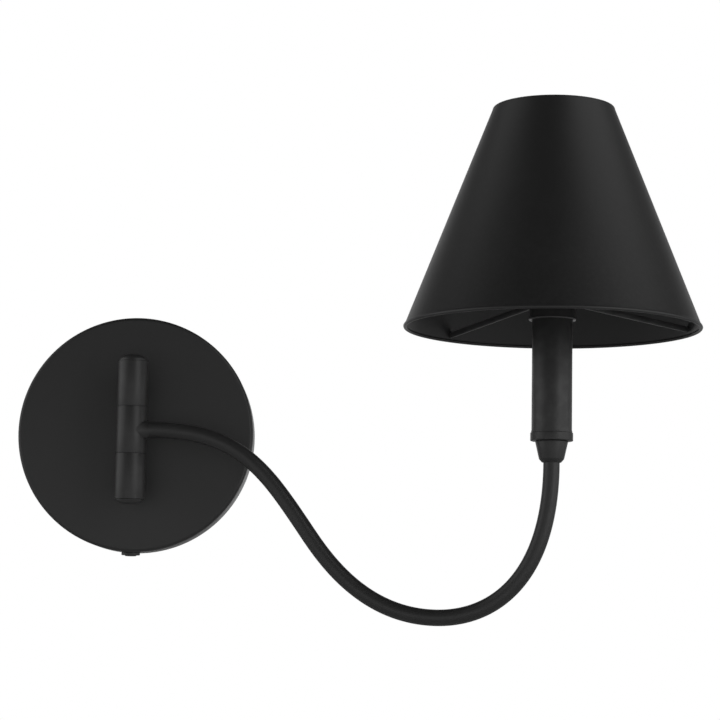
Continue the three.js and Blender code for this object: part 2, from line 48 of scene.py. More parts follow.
# ---- Canopy ----
# A shallow steel pan, spun and powder coated satin black. Its front edge is gently rounded and its
# rim lies flat on the wall. Two posts pass through its face and the switch sits in its lower edge.


def half_width(node):
    """A round piece's radius, from its box."""
    low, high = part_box(node)
    return (high.x - low.x) / 2


canopy_low, canopy_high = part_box("backplate")
canopy_radius = half_width("backplate")
canopy_depth = canopy_high.y - canopy_low.y
canopy_wall = 1.6 * mm
same_point = 0.002 * mm
touching = 0.01 * mm


def turned(profile, steps=128):
    """A profile of (radius, height) points spun about Z into a closed bmesh."""
    bm = bmesh.new()
    verts = [bm.verts.new((radius, 0, height)) for radius, height in profile]
    edges = [bm.edges.new(pair) for pair in zip(verts, verts[1:])]
    bmesh.ops.spin(bm, geom=verts + edges, cent=(0, 0, 0), axis=(0, 0, 1), angle=2 * pi,
                   steps=steps, use_merge=True, use_duplicate=False)
    bmesh.ops.remove_doubles(bm, verts=bm.verts, dist=same_point)
    bmesh.ops.recalc_face_normals(bm, faces=bm.faces)
    return bm


def soften(bm, width, segments=3, sharper_than=30, where=None):
    """Rounds the edges that turn by more than an angle."""
    sharp = [
        edge for edge in bm.edges
        if len(edge.link_faces) == 2
        and edge.calc_face_angle(0) > radians(sharper_than)
        and (where is None or where(edge))
    ]
    bmesh.ops.bevel(bm, geom=sharp, offset=width, offset_type="OFFSET", segments=segments,
                    profile=0.5, affect="EDGES", clamp_overlap=True, material=-1)


def settle(name, bm, material, body, node=None, place=Matrix(), smooth_under=40):
    """Makes the finished object: placed in its mesh, smooth shaded, riding on its body."""
    bmesh.ops.transform(bm, matrix=place, verts=bm.verts)
    mesh = bpy.data.meshes.new(name)
    bm.to_mesh(mesh)
    bm.free()
    mesh.shade_smooth()
    mesh.set_sharp_from_angle(angle=radians(smooth_under))
    mesh.materials.append(material)
    piece = bpy.data.objects.new(name, mesh)
    scene.collection.objects.link(piece)
    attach(piece, body)
    if node:
        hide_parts(node)


def coated(name, bm, body, node, place, smooth_under=40):
    """Settles a piece in the satin black powder coat."""
    settle(name, bm, satin_black, body, node, place, smooth_under)


def shader_node(tree, kind, values=None, **settings):
    """A new shader node with its input values and its settings."""
    node = tree.nodes.new(f"ShaderNode{kind}")
    for label, value in (values or {}).items():
        node.inputs[label].default_value = value
    for setting, value in settings.items():
        setattr(node, setting, value)
    return node


def join(tree, *pairs):
    """Links each output to its input."""
    for source, target in pairs:
        tree.links.new(source, target)


def new_group(name, inputs, outputs):
    """An empty shader node group with number sockets."""
    group = bpy.data.node_groups.new(name, "ShaderNodeTree")
    for label, value in inputs.items():
        socket = group.interface.new_socket(label, in_out="INPUT", socket_type="NodeSocketFloat")
        socket.default_value = value
    for label in outputs:
        group.interface.new_socket(label, in_out="OUTPUT", socket_type="NodeSocketFloat")
    return group, group.nodes.new("NodeGroupInput"), group.nodes.new("NodeGroupOutput")


def noise(tree, where, values):
    """A noise pattern in the piece's own space."""
    pattern = shader_node(tree, "TexNoise", values)
    tree.links.new(where, pattern.inputs["Vector"])
    return pattern


def orange_peel_group():
    """The fine dimpled skin of powder coat: a height, and a slow mottle over it."""
    group, given, result = new_group(
        "orange_peel", {"Dimples per metre": 1400.0, "Mottle per metre": 45.0}, ["Height", "Mottle"])
    where = shader_node(group, "TexCoord").outputs["Object"]
    for scale, detail, roughness, label in (
        ("Dimples per metre", 2.5, 0.55, "Height"),
        ("Mottle per metre", 4.0, 0.6, "Mottle"),
    ):
        pattern = noise(group, where, {"Detail": detail, "Roughness": roughness})
        join(group, (given.outputs[scale], pattern.inputs["Scale"]),
             (pattern.outputs["Fac"], result.inputs[label]))
    return group


def broken_mask(name, on_edges, shows_from, full_at, specks_per_metre, detail, bare_under, solid_over):
    """A mask on convex edges, or else on faces that look up, broken up by specks."""
    group, given, result = new_group(name, {"Amount": 1.0}, ["Mask"])
    geometry = shader_node(group, "NewGeometry")
    where = shader_node(group, "TexCoord").outputs["Object"]
    if on_edges:
        surface = geometry.outputs["Pointiness"]
    else:
        split = shader_node(group, "SeparateXYZ")
        join(group, (geometry.outputs["Normal"], split.inputs["Vector"]))
        surface = split.outputs["Z"]
    shown = shader_node(group, "MapRange", {"From Min": shows_from, "From Max": full_at})
    specks = noise(group, where, {"Scale": specks_per_metre, "Detail": detail})
    patches = shader_node(group, "MapRange", {"From Min": bare_under, "From Max": solid_over})
    both = shader_node(group, "Math", operation="MULTIPLY")
    scaled = shader_node(group, "Math", operation="MULTIPLY", use_clamp=True)
    join(group,
         (surface, shown.inputs["Value"]),
         (specks.outputs["Fac"], patches.inputs["Value"]),
         (shown.outputs["Result"], both.inputs[0]),
         (patches.outputs["Result"], both.inputs[1]),
         (both.outputs[0], scaled.inputs[0]),
         (given.outputs["Amount"], scaled.inputs[1]),
         (scaled.outputs[0], result.inputs["Mask"]))
    return group


orange_peel = orange_peel_group()
edge_rub = broken_mask("edge_rub", True, 0.52, 0.6, 160.0, 5.0, 0.45, 0.62)
settled_dust = broken_mask("settled_dust", False, 0.35, 0.95, 520.0, 6.0, 0.42, 0.7)
dust_grey = (0.05, 0.05, 0.05)


def principled(name):
    """A material, its node tree and its Principled shader, ready for links."""
    material = bpy.data.materials.new(name)
    material.use_nodes = True
    return material, material.node_tree, material.node_tree.nodes["Principled BSDF"]


def blend_colors(tree, factor, first, second):
    """A colour that goes from the first to the second as the factor rises."""
    mix = shader_node(tree, "Mix", data_type="RGBA")
    tree.links.new(factor, mix.inputs["Factor"])
    for value, socket in ((first, mix.inputs["A"]), (second, mix.inputs["B"])):
        if isinstance(value, tuple):
            socket.default_value = (*value, 1)
        else:
            tree.links.new(value, socket)
    return mix.outputs["Result"]


def between(tree, value, low, high, from_low=0.3, from_high=0.7):
    """A number that follows a varying value from low to high."""
    ranged = shader_node(tree, "MapRange", {"From Min": from_low, "From Max": from_high,
                                            "To Min": low, "To Max": high})
    tree.links.new(value, ranged.inputs["Value"])
    return ranged.outputs["Result"]


def place_group(tree, group, **values):
    """A group in a material, with its own values."""
    node = tree.nodes.new("ShaderNodeGroup")
    node.node_tree = group
    for label, value in values.items():
        node.inputs[label.replace("_", " ")].default_value = value
    return node


def add_bump(tree, shader, height, strength, distance):
    bump = shader_node(tree, "Bump", {"Strength": strength, "Distance": distance})
    join(tree, (height, bump.inputs["Height"]), (bump.outputs["Normal"], shader.inputs["Normal"]))


def powder_coat(name, dark, light, smooth, rough, dimples=1400.0, rub=0.5, dust=0.35):
    """Satin black powder coat over steel: dark and light are its greys, smooth and rough its sheen."""
    material, tree, shader = principled(name)
    skin = place_group(tree, orange_peel, Dimples_per_metre=dimples)
    mottle = skin.outputs["Mottle"]
    rubbed = place_group(tree, edge_rub, Amount=rub).outputs["Mask"]
    dusty = place_group(tree, settled_dust, Amount=dust).outputs["Mask"]
    base = blend_colors(tree, between(tree, mottle, 0, 1), (dark, dark, dark), (light, light, light))
    rubbed_grey = light * 2.4
    worn = blend_colors(tree, rubbed, base, (rubbed_grey, rubbed_grey, rubbed_grey))
    polished = shader_node(tree, "Math", operation="MULTIPLY_ADD")
    polished.inputs[1].default_value = -0.08
    join(tree,
         (blend_colors(tree, dusty, worn, dust_grey), shader.inputs["Base Color"]),
         (rubbed, polished.inputs[0]),
         (between(tree, mottle, smooth, rough), polished.inputs[2]),
         (polished.outputs[0], shader.inputs["Roughness"]))
    shader.inputs["Specular IOR Level"].default_value = 0.5
    add_bump(tree, shader, skin.outputs["Height"], 0.35, 0.012 * mm)
    return material


satin_black = powder_coat("satin_black_powder_coat", 0.0145, 0.0157, 0.450, 0.458)

# Pieces fixed to the wall side are made facing up and then tipped to face out of the wall.
facing_out = Matrix.Rotation(radians(90), 4, "X")


def canopy():
    inside = canopy_radius - canopy_wall
    front_edge, small_edge = 2.0 * mm, 0.25 * mm
    pan = turned([
        (0, canopy_depth - canopy_wall),
        (inside, canopy_depth - canopy_wall),
        (inside, 0),
        (canopy_radius, 0),
        (canopy_radius, canopy_depth),
        (0, canopy_depth),
    ], steps=192)

    def at_front(edge):
        return all(abs(v.co.z - canopy_depth) < touching for v in edge.verts)

    soften(pan, front_edge, segments=8, where=at_front)
    soften(pan, small_edge, segments=2, sharper_than=60)
    coated("canopy", pan, "canopy", "backplate", facing_out)


canopy()

# ---- Mounting strap ----
# A pressed, zinc-plated steel strap that is screwed to the wall box. Its bent ends take the canopy's
# two side screws, and a green screw in it takes the earth wire.


def brushed_group():
    """Fine parallel lines and slow clouds, as on rolled or turned metal."""
    group, given, result = new_group(
        "brushed_lines", {"Lines per metre": 2600.0, "Clouds per metre": 60.0}, ["Lines", "Clouds"])
    where = shader_node(group, "TexCoord").outputs["Object"]
    stretch = shader_node(group, "Mapping", {"Scale": (1.0, 1.0, 0.04)})
    lines = noise(group, stretch.outputs["Vector"], {"Detail": 3.0})
    clouds = noise(group, where, {"Detail": 5.0})
    join(group,
         (where, stretch.inputs["Vector"]),
         (given.outputs["Lines per metre"], lines.inputs["Scale"]),
         (given.outputs["Clouds per metre"], clouds.inputs["Scale"]),
         (lines.outputs["Fac"], result.inputs["Lines"]),
         (clouds.outputs["Fac"], result.inputs["Clouds"]))
    return group


brushed = brushed_group()


def bare_metal(name, dull, bright, smooth, rough):
    """Plated or bare metal with fine lines, cloudy colour and uneven polish."""
    material, tree, shader = principled(name)
    grain = place_group(tree, brushed)
    clouds = grain.outputs["Clouds"]
    rubbed = place_group(tree, edge_rub, Amount=0.8).outputs["Mask"]
    clouded = blend_colors(tree, between(tree, clouds, 0, 1, 0.35, 0.65), dull, bright)
    rubbed_bright = tuple(min(1, 1.15 * channel) for channel in bright)
    join(tree,
         (blend_colors(tree, rubbed, clouded, rubbed_bright), shader.inputs["Base Color"]),
         (between(tree, clouds, smooth, rough), shader.inputs["Roughness"]))
    shader.inputs["Metallic"].default_value = 1
    add_bump(tree, shader, grain.outputs["Lines"], 0.25, 0.01 * mm)
    return material


zinc_plate = bare_metal("zinc_plated_steel", (0.42, 0.42, 0.43), (0.58, 0.59, 0.60), 0.28, 0.42)
earth_green = bare_metal("green_dyed_steel", (0.02, 0.13, 0.045), (0.035, 0.20, 0.07), 0.3, 0.4)


def zinced(name, bm, node, place, body="canopy", smooth_under=40):
    """Settles a piece in zinc plate."""
    settle(name, bm, zinc_plate, body, node, place, smooth_under)


def eased(name, node, material, width):
    """The piece as pressed, with its flat faces made whole and its edges broken."""
    bm = bmesh.new()
    bm.from_mesh(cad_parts[node].data)
    bmesh.ops.remove_doubles(bm, verts=bm.verts, dist=same_point)
    bmesh.ops.dissolve_limit(bm, angle_limit=radians(1), verts=bm.verts, edges=bm.edges)
    soften(bm, width, segments=2, sharper_than=40)
    settle(name, bm, material, "canopy", node, smooth_under=35)


eased("mounting_strap_pressed", "mounting_bridge", zinc_plate, 0.25 * mm)
eased("ground_screw_turned", "ground_screw", earth_green, 0.12 * mm)


def middle_of(node):
    """The middle of a node's box."""
    low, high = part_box(node)
    return [(a + b) / 2 for a, b in zip(low, high)]


def side_screws():
    """Headless screws with a round socket, one through each bent end of the strap."""
    inner, outer = 47.2 * mm, canopy_radius - 0.4 * mm
    crest, root, half_pitch = 1.4 * mm, 1.15 * mm, 0.25
    body, socket = 1.95 * mm, 1.0 * mm
    for name in ("side_screw_1", "side_screw_2"):
        x, y, z = middle_of(name)
        screw = turned([
            (0, inner),
            (1.1 * mm, inner),
            *[(root if k % 2 == 0 else crest, inner + (0.3 + half_pitch * k) * mm) for k in range(28)],
            (body, inner + 8 * mm),
            (body, outer - 0.3 * mm),
            (1.65 * mm, outer),
            (socket, outer),
            (socket, outer - 1.6 * mm),
            (0, outer - 2.0 * mm),
        ], steps=36)
        to_side = Vector((0, 0, 1)).rotation_difference(Vector((x, 0, z)).normalized())
        coated(f"{name}_turned", screw, "canopy", name,
               Matrix.Translation((0, y, 0)) @ to_side.to_matrix().to_4x4(), smooth_under=30)


side_screws()

# ---- Push switch ----
# A small black metal bezel screwed into the canopy's lower edge, with a button that is pressed in.
# Behind it, inside the canopy, are the switch's nut and its moulded body.

switch_x, switch_y, _ = middle_of("switch_bezel")
pointing_down = Matrix.Translation((switch_x, switch_y, 0)) @ Matrix.Rotation(radians(180), 4, "X")


def switch_bezel():
    face = -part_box("switch_bezel")[0].z
    seat = face - 1.2 * mm
    bore, neck, rim = 3.45 * mm, 4.0 * mm, 5.0 * mm
    ring = turned([
        (bore, seat - 8 * mm),
        (neck, seat - 8 * mm),
        (neck, seat - 0.4 * mm),
        (rim, seat - 0.4 * mm),
        (rim, face),
        (bore, face),
        (bore, seat - 8 * mm),
    ], steps=72)
    soften(ring, 0.35 * mm)
    coated("switch_bezel_ring", ring, "canopy", "switch_bezel", pointing_down)


def heights(node):
    """A node's lowest and highest level."""
    low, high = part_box(node)
    return low.z, high.z


def push_button():
    low, high = heights("push_button")
    face, stem_end = -low, -high
    stem, cap_radius, cap_height = 2.0 * mm, 3.1 * mm, 7.8 * mm
    cap = turned([
        (0, stem_end),
        (stem, stem_end),
        (stem, face - cap_height),
        (cap_radius, face - cap_height),
        (cap_radius, face - 0.15 * mm),
        (1.6 * mm, face - 0.03 * mm),
        (0, face),
    ], steps=64)
    soften(cap, 0.3 * mm, segments=4)
    coated("push_button_cap", cap, "button", "push_button", pointing_down)


def hex_nut(node, across, hole, low, high, body, place):
    """A six-sided nut with turned chamfers and a threaded hole."""
    corner = across / 2 / cos(radians(30))
    chamfer = (corner - across / 2) * 0.6
    face, pitch, thread_depth = across / 2 * 0.97, 0.7 * mm, 0.22 * mm
    mouth = hole + 0.3 * mm
    turns = max(3, round((high - low) / pitch))
    hole_wall = [
        (hole + (thread_depth if k % 2 else 0), high - (high - low) * k / (2 * turns))
        for k in range(2 * turns + 1)
    ]
    nut = turned([
        (mouth, low),
        (face, low),
        (corner, low + chamfer),
        (corner, high - chamfer),
        (face, high),
        (mouth, high),
        *hole_wall,
        (mouth, low),
    ], steps=72)
    for vert in nut.verts:
        reach = vert.co.xy.length
        if reach > hole + 0.5 * mm:
            turn = vert.co.xy.angle_signed(Vector((1, 0))) % radians(60) - radians(30)
            flat = across / 2 / cos(turn)
            if reach > flat:
                vert.co.xy *= flat / reach
    bmesh.ops.recalc_face_normals(nut, faces=nut.faces)
    zinced(f"{node}_turned", nut, node, place, body, 25)


def block(center, size):
    """A box as a bmesh."""
    bm = bmesh.new()
    bmesh.ops.create_cube(bm, size=1)
    for vert in bm.verts:
        vert.co = [middle + part * side for middle, part, side in zip(center, vert.co, size)]
    return bm


def moulded(name, dark, light, smooth, rough, grain_per_metre=2200.0, mottle_per_metre=90.0, depth=0.4):
    """A moulded plastic with a fine sparked grain."""
    material, tree, shader = principled(name)
    skin = place_group(tree, orange_peel, Dimples_per_metre=grain_per_metre,
                       Mottle_per_metre=mottle_per_metre)
    mottle = skin.outputs["Mottle"]
    tint = blend_colors(tree, between(tree, mottle, 0, 1), dark, light)
    join(tree, (tint, shader.inputs["Base Color"]),
         (between(tree, mottle, smooth, rough), shader.inputs["Roughness"]))
    add_bump(tree, shader, skin.outputs["Height"], depth, 0.02 * mm)
    return material


switch_black = moulded("black_moulding", (0.014, 0.014, 0.015), (0.024, 0.024, 0.025), 0.42, 0.6)


def switch_body():
    """The bought-in switch: a moulded box with a parting line and two tinned lugs."""
    base = -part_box("switch_body")[0].z
    case = block((0, 0, base - 7.5 * mm), (16 * mm, 13 * mm, 15 * mm))
    bmesh.ops.bisect_plane(case, geom=case.verts[:] + case.edges[:] + case.faces[:],
                           plane_co=(0, 0, base - 5 * mm), plane_no=(0, 0, 1))
    soften(case, 0.6 * mm, sharper_than=60)
    sides = [face for face in case.faces if abs(face.normal.z) < 0.1]
    bmesh.ops.inset_individual(case, faces=sides, thickness=0.9 * mm, depth=-0.25 * mm)
    settle("switch_case", case, switch_black, "canopy", "switch_body", pointing_down, 30)
    for label, side in (("left", -1), ("right", 1)):
        lug = block((side * 4 * mm, 0, base - 17.5 * mm), (2 * mm, 0.8 * mm, 5 * mm))
        soften(lug, 0.15 * mm, segments=2)
        zinced(f"switch_lug_{label}", lug, None, pointing_down, smooth_under=30)


switch_bezel()
push_button()
nut_low, nut_high = heights("switch_nut")
hex_nut("switch_nut", 11 * mm, 4.2 * mm, -nut_high, -nut_low, "canopy", pointing_down)
switch_body()

# ---- Wires and connectors ----
# Twist-on plastic connectors, ribbed for the fingers, join the lamp lead, the switch and the supply
# behind the canopy. The wires are stranded copper in soft vinyl, pushed into the connectors' mouths.


def ribbed(bm, ribs, depth, where):
    """Presses grip ribs into the points that where() picks."""
    for vert in bm.verts:
        if where(vert.co):
            turn = vert.co.xy.angle_signed(Vector((1, 0)))
            vert.co.xy *= 1 - depth * max(0.0, cos(turn * ribs))


def wire_connector(name, finish):
    """One connector; returns the place in its mouth where a wire ends."""
    low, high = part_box(name)
    x, _, z = middle_of(name)
    near, far = -high.y, -low.y
    mouth = half_width(name)
    cone = turned([
        (0, near),
        (1.1 * mm, near),
        (1.55 * mm, near + 0.4 * mm),
        (1.75 * mm, near + 2.5 * mm),
        (2.3 * mm, near + 5.5 * mm),
        (mouth * 0.92, far - 3.4 * mm),
        (mouth * 0.96, far - 1.6 * mm),
        (mouth, far - 1.3 * mm),
        (mouth, far - 0.3 * mm),
        (mouth - 0.3 * mm, far),
        (mouth - 1.5 * mm, far),
        (mouth - 1.8 * mm, far - 0.4 * mm),
        (1.2 * mm, near + 6 * mm),
        (0, near + 5.8 * mm),
    ], steps=72)
    ribbed(cone, 12, 0.09, lambda co: near + 2 * mm < co.z < far - 1.5 * mm and co.xy.length > 1.6 * mm)
    settle(f"{name}_ribbed", cone, finish, "canopy", name,
           Matrix.Translation((x, 0, z)) @ facing_out, smooth_under=35)
    return Vector((x, -far + 2.5 * mm, z))


mouths = {}
for number, color, dark, light, smooth, rough in (
    (1, "dark", (0.02, 0.02, 0.021), (0.032, 0.032, 0.034), 0.4, 0.55),
    (2, "white", (0.72, 0.70, 0.66), (0.80, 0.79, 0.75), 0.38, 0.5),
    (3, "green", (0.03, 0.17, 0.06), (0.05, 0.24, 0.09), 0.4, 0.52),
):
    name = f"wire_connector_{number}"
    finish = moulded(f"{color}_connector_moulding", dark, light, smooth, rough)
    mouths[name] = wire_connector(name, finish)

# ---- Posts ----
# Two turned hollow posts, screwed through the canopy, that carry the barrel off its face. A nut on
# each holds it from behind.


def posts():
    bore, neck, outside = 2.2 * mm, 3.5 * mm, 4.7 * mm
    shoulder = canopy_depth + 0.05 * mm
    for name in ("upper_post", "lower_post"):
        low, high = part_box(name)
        inner, front = -high.y, -low.y
        body = turned([
            (bore, inner),
            (neck, inner),
            (neck, shoulder),
            (outside, shoulder),
            (outside, front),
            (bore, front),
            (bore, inner),
        ], steps=64)
        soften(body, 0.3 * mm)
        in_post = facing_out @ Matrix.Translation((0, middle_of(name)[2], 0))
        coated(f"{name}_turned", body, "canopy", name, in_post)
        nut = f"{name}_nut"
        nut_low, nut_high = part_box(nut)
        hex_nut(nut, 12 * mm, neck, -nut_high.y, -nut_low.y, "canopy", in_post)


posts()

# ---- Inner wires ----
# Vinyl-covered stranded wires behind the canopy: from the lamp lead and the switch to the
# connectors, and a green one from the earth screw.


def vinyl(name, dark, light):
    """Soft extruded vinyl with a low sheen."""
    return moulded(name, dark, light, 0.38, 0.5, grain_per_metre=900.0, mottle_per_metre=140.0, depth=0.3)


def swept(name, knots, radius, around, along):
    """A round rod along a Bezier curve, as a bmesh."""
    curve = bpy.data.curves.new(name, "CURVE")
    curve.dimensions = "3D"
    curve.bevel_depth = radius
    curve.bevel_resolution = around // 4
    curve.use_fill_caps = True
    curve.resolution_u = along
    spline = curve.splines.new("BEZIER")
    spline.bezier_points.add(len(knots) - 1)
    for point, (place, behind, ahead) in zip(spline.bezier_points, knots):
        point.co = place
        point.handle_left = place + behind
        point.handle_right = place + ahead
    stand_in = bpy.data.objects.new(name, curve)
    scene.collection.objects.link(stand_in)
    bpy.context.view_layer.update()
    evaluated = stand_in.evaluated_get(bpy.context.evaluated_depsgraph_get())
    mesh = bpy.data.meshes.new_from_object(evaluated)
    bm = bmesh.new()
    bm.from_mesh(mesh)
    bpy.data.objects.remove(stand_in)
    bpy.data.curves.remove(curve)
    bpy.data.meshes.remove(mesh)
    bmesh.ops.remove_doubles(bm, verts=bm.verts, dist=same_point)
    bmesh.ops.recalc_face_normals(bm, faces=bm.faces)
    return bm


black_vinyl = vinyl("black_vinyl", (0.016, 0.016, 0.016), (0.026, 0.026, 0.026))
white_vinyl = vinyl("white_vinyl", (0.68, 0.67, 0.63), (0.76, 0.75, 0.71))
green_vinyl = vinyl("green_vinyl", (0.02, 0.15, 0.05), (0.03, 0.21, 0.075))
wire_radius = 0.8 * mm


def finished(node, material):
    """A piece whose plain shape is right gets its finish."""
    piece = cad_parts[node]
    piece.data.materials.clear()
    piece.data.materials.append(material)


finished("base_lead", black_vinyl)
finished("arm_lead", black_vinyl)


def inner_wire(name, material, start, leaving, connector, side):
    """A wire that leaves its start, runs across the pan and turns into a connector's mouth."""
    mouth = mouths[connector] + Vector((side * 0.95 * mm, 0, 0))
    face = Vector((mouth.x, -canopy_depth + canopy_wall + wire_radius + 0.4 * mm, mouth.z))
    back = (start - face).normalized()
    across = Vector((back.x, 0, back.z)).normalized()
    bend = face + across * 2.2 * mm + Vector((0, 0.5 * mm, 0))
    half = (start + bend) / 2 + Vector((0, 3.5 * mm, 0))
    run = (bend - start) * 0.25
    knots = [
        (start, -leaving, leaving),
        (half, -run, run),
        (bend, across * 5 * mm + Vector((0, 1.2 * mm, 0)), -across * 1.2 * mm),
        (mouth, Vector((0, -1.8 * mm, 0)), Vector((0, 1 * mm, 0))),
    ]
    settle(name, swept(name, knots, wire_radius, 16, 16), material, "canopy", None)


lead_end = Vector((0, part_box("base_lead")[1].y - 1.5 * mm, middle_of("lower_post")[2]))
lead_core = Vector((0.7 * mm, 0, 0))
body_x, body_y, _ = middle_of("switch_body")
lug_top = Vector((body_x, body_y, heights("switch_body")[1]))
earth = Vector(middle_of("ground_screw")) + Vector((-2.5 * mm, -1.2 * mm, -2.5 * mm))

inner_wire("lamp_wire", white_vinyl, lead_end + lead_core,
           Vector((2 * mm, 4 * mm, 0)), "wire_connector_2", -1)
inner_wire("switch_wire", black_vinyl, lug_top + Vector((4 * mm, 0, -1.5 * mm)),
           Vector((0, 0, 6 * mm)), "wire_connector_1", 1)
inner_wire("earth_wire", green_vinyl, earth,
           Vector((-4 * mm, -1 * mm, 0)), "wire_connector_3", 1)


def switch_link():
    """The short wire from the lamp lead to the switch's other lug."""
    start = lead_end - lead_core
    lug = lug_top + Vector((-4 * mm, 0, -1.5 * mm))
    knots = [
        (start, Vector((0, -2 * mm, 0)), Vector((-1 * mm, 4 * mm, -1 * mm))),
        (lug, Vector((-0.5 * mm, 0, 7 * mm)), Vector((0, 0, -1 * mm))),
    ]
    name = "switch_link_wire"
    settle(name, swept(name, knots, wire_radius, 16, 24), black_vinyl, "canopy", None)


switch_link()

# ---- Pivot barrel ----
# Three turned steel lengths on one upright axis: the outer two are fixed and the middle one turns.
# Each end is closed by a domed cap, and the seams are fine V grooves. A threaded rod above and a tube
# below hold it together, with a friction washer at each seam.

barrel_x, barrel_y, _ = middle_of("barrel_upper")
barrel_radius = half_width("barrel_upper")
on_barrel = Matrix.Translation((barrel_x, barrel_y, 0))
barrel_bore = 3.3 * mm


def hoop(inner, outer, low, high):
    """The closed profile of a plain ring or tube."""
    return [(inner, low), (outer, low), (outer, high), (inner, high), (inner, low)]


def barrel_length(end, body, seams):
    """One length of the barrel, with its seam ends faced close to their neighbours."""
    node = f"barrel_{end}"
    low, high = heights(node)
    facing = 0.15 * mm
    low -= facing if "lower" in seams else 0
    high += facing if "upper" in seams else 0
    tube = turned(hoop(barrel_bore, barrel_radius, low, high))
    soften(tube, 0.10 * mm, segments=2)
    coated(f"{node}_length", tube, body, node, on_barrel)


def barrel_cap(end):
    node = f"{end}_cap"
    low, high = heights(node)
    radius = half_width(node)
    stem, stem_radius = 4.5 * mm, 3.0 * mm
    rise = high - low - stem
    dome = turned([
        (0, 0),
        (stem_radius, 0),
        (stem_radius, stem),
        (radius, stem - 0.2 * mm),
        *[(radius * cos(radians(9 * k)), stem + rise * sin(radians(9 * k))) for k in range(10)],
        (0, stem + rise),
    ], steps=96)
    soften(dome, 0.15 * mm, segments=2, sharper_than=50)
    if end == "upper":
        place = on_barrel @ Matrix.Translation((0, 0, low))
    else:
        place = on_barrel @ Matrix.Translation((0, 0, high)) @ Matrix.Rotation(pi, 4, "X")
    coated(f"barrel_{node}", dome, "canopy", node, place)


barrel_length("upper", "canopy", ("lower",))
barrel_length("lower", "canopy", ("upper",))
barrel_length("middle", "arm", ("lower", "upper"))
barrel_cap("upper")
barrel_cap("lower")


def threaded(radius, depth, low, high, pitch):
    """The zigzag outline of a rolled thread, from low to high."""
    turns = round((high - low) / pitch)
    return [
        (radius - (depth if k % 2 else 0), low + (high - low) * k / (2 * turns))
        for k in range(2 * turns + 1)
    ]


def pivot_parts():
    low, high = heights("upper_pivot")
    radius, end_radius, depth, pitch = 3.0 * mm, 2.6 * mm, 0.35 * mm, 0.8 * mm
    rod = turned([
        (0, low),
        (end_radius, low),
        *threaded(radius, depth, low + 0.4 * mm, low + 7 * mm, pitch),
        (radius, high - 9 * mm),
        *threaded(radius, depth, high - 8.5 * mm, high - 0.4 * mm, pitch),
        (end_radius, high),
        (0, high),
    ], steps=48)
    zinced("upper_pivot_rod", rod, "upper_pivot", on_barrel, smooth_under=25)
    finished("lower_pivot", zinc_plate)
    for name in ("upper_washer", "lower_washer"):
        washer = turned(hoop(barrel_bore, 6 * mm, *heights(name)), 72)
        soften(washer, 0.12 * mm, segments=2)
        zinced(f"{name}_stamped", washer, name, on_barrel)


pivot_parts()

# ---- Arm ----
# A drawn steel tube bent in one plane: level out of the barrel, down in an S, and up in a wide
# bend to the lamp. A small flared collar covers the joint where it enters the barrel.

lamp_x, lamp_y, _ = middle_of("shade_hub")
along_arm = Vector((lamp_x - barrel_x, lamp_y - barrel_y))
arm_reach = along_arm.length
arm_turn = along_arm.angle_signed(Vector((1, 0)))
in_arm = on_barrel @ Matrix.Rotation(arm_turn, 4, "Z")
tube_radius = 4.2 * mm


def arm_tube():
    """The tube along its bends, each one given by a place and the handles behind and ahead of it."""
    start = Vector((10.5 * mm, 0, 0))
    dip = Vector((94 * mm, 0, -49.3 * mm))
    downhill = Vector((cos(radians(54.2)), 0, -sin(radians(54.2))))
    trough = Vector((166 * mm, 0, -96.5 * mm))
    foot = Vector((arm_reach, 0, heights("cup_neck")[0]))
    top = Vector((arm_reach, 0, heights("arm_tube")[1]))
    knots = [
        (start, Vector((-5 * mm, 0, 0)), Vector((48.2 * mm, 0, 0))),
        (dip, downhill * -35.3 * mm, downhill * 15.3 * mm),
        (trough, Vector((-41.4 * mm, 0, 0)), Vector((28.3 * mm, 0, 0))),
        (foot, Vector((0, 0, -59.9 * mm)), Vector((0, 0, 1.5 * mm))),
        (top, Vector((0, 0, -1.5 * mm)), Vector((0, 0, 1 * mm))),
    ]
    name = "arm_tube_bent"
    coated(name, swept(name, knots, tube_radius, 48, 72), "arm", "arm_tube", in_arm)


def arm_collar():
    """A small flared boss, brazed into the barrel's side, that the tube runs into."""
    bore, root, length, flare, steps = 3.5 * mm, 4.6 * mm, 6.2 * mm, 2.4 * mm, 14
    collar = turned([
        (bore, root),
        *[(tube_radius + flare * (1 - k / steps) ** 1.4, root + length * k / steps)
          for k in range(steps + 1)],
        (bore, root + length),
        (bore, root),
    ], steps=72)
    coated("arm_collar_turned", collar, "arm", "arm_collar", in_arm @ Matrix.Rotation(radians(90), 4, "Y"))


arm_tube()
arm_collar()

# ---- Cup ----
# Two turned steel pieces under the lamp holder: a tapered neck over the tube's end, and a rounded
# ring that the candle sleeve stands on.

on_lamp = Matrix.Translation((lamp_x, lamp_y, 0))
sleeve_radius = half_width("candle_sleeve")


def cup_neck():
    bottom, top = heights("cup_neck")
    socket, socket_top, bore = tube_radius + 0.05 * mm, bottom + 5.5 * mm, 4.0 * mm
    neck = turned([
        (socket, bottom),
        (4.9 * mm, bottom),
        (6.4 * mm, bottom + 1.7 * mm),
        (8.4 * mm, top),
        (bore, top),
        (bore, socket_top),
        (socket, socket_top),
        (socket, bottom),
    ], steps=96)
    soften(neck, 0.3 * mm, sharper_than=20)
    coated("cup_neck_turned", neck, "arm", "cup_neck", on_lamp)


